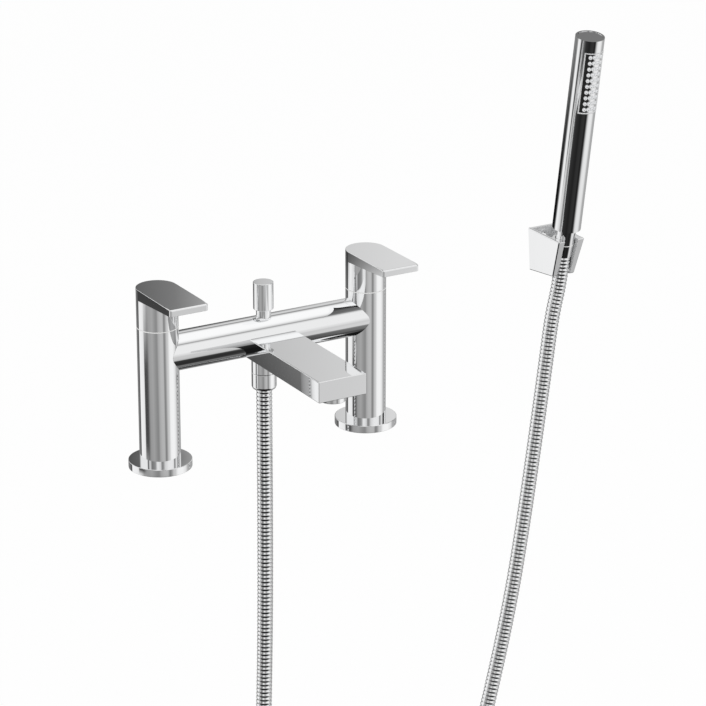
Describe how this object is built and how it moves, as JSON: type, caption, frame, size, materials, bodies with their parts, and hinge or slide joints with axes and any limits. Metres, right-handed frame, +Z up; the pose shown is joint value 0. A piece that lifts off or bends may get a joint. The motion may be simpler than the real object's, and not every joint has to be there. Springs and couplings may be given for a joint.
{
  "type": "bath shower mixer",
  "caption": "Deck-mounted bridge bath mixer with paddle levers, flat spout, pull-up diverter, ribbed hose, pencil handset and forked wall bracket.",
  "frame": {"origin": "deck level, midway between the axes of the two inlets", "axes": "+X along the crossbar towards the cold side and the bracket, -Y the way the spout points, +Z up"},
  "size_m": [0.4357, 0.2085, 0.7859],
  "materials": {
    "chrome": "polished",
    "brass": "machined",
    "rubber": "moulded",
    "ceramic": "lapped ceramic",
    "pale_ring": "moulded slip ring",
    "valve_plastic": "moulded",
    "steel": "drawn"
  },
  "bodies": {
    "mixer": {"hot_pillar": "chrome", "hot_flange": "chrome", "hot_flange_seal": "rubber", "hot_inlet_bush": "brass", "hot_cartridge_body": "brass", "hot_seat_seal": "rubber", "hot_fixed_disc": "ceramic", "hot_spindle_ring": "rubber", "hot_seam_ring": "pale_ring", "cold_pillar": "chrome", "cold_flange": "chrome", "cold_flange_seal": "rubber", "cold_inlet_bush": "brass", "cold_cartridge_body": "brass", "cold_seat_seal": "rubber", "cold_fixed_disc": "ceramic", "cold_spindle_ring": "rubber", "cold_seam_ring": "pale_ring", "crossbar": "chrome", "spout": "chrome", "aerator_housing": "chrome", "aerator_insert": "valve_plastic", "aerator_washer": "rubber", "diverter_guide": "chrome", "diverter_ring": "rubber", "diverter_spring": "steel", "shower_outlet": "chrome", "check_valve": "valve_plastic", "hose_nut": "chrome", "hose_washer": "rubber", "hose": "chrome", "bracket": "chrome"},
    "hot_lever": {"hot_lever": "chrome", "hot_spindle": "brass", "hot_moving_disc": "ceramic", "hot_lever_screw": "chrome"},
    "cold_lever": {"cold_lever": "chrome", "cold_spindle": "brass", "cold_moving_disc": "ceramic", "cold_lever_screw": "chrome"},
    "diverter": {"diverter_rod": "steel", "diverter_knob": "chrome", "diverter_piston": "brass", "piston_washer": "rubber"},
    "hose_end": {"handset_nut": "chrome", "handset_ring": "pale_ring", "handset_washer": "rubber"},
    "handset": {"handset_shell": "chrome", "handset_cap": "chrome", "spray_plate": "chrome", "handset_inlet": "chrome", "flow_filter": "valve_plastic"}
  },
  "joints": [
    {"name": "hot_lever_turn", "type": "hinge", "parent": "mixer", "child": "hot_lever", "pos_m": [-0.09, 0, 0.1128], "axis": [0, 0, 1], "range_deg": [0, 90]},
    {"name": "cold_lever_turn", "type": "hinge", "parent": "mixer", "child": "cold_lever", "pos_m": [0.09, 0, 0.1128], "axis": [0, 0, 1], "range_deg": [-90, 0]},
    {"name": "diverter_lift", "type": "slide", "parent": "mixer", "child": "diverter", "axis": [0, 0, 1], "range_m": [0, 0.009], "stiffness_N_per_m": 40, "springref_m": -0.004, "deforming": ["diverter_spring"]},
    {"name": "handset_lift", "type": "slide", "parent": "mixer", "child": "hose_end", "axis": [0, -0.1607, 0.987], "range_m": [0, 0.07]},
    {"name": "handset_swivel", "type": "hinge", "parent": "hose_end", "child": "handset", "pos_m": [0.3089, 0.05, 0.1111], "axis": [0, -0.1607, 0.987], "continuous": true}
  ]
}
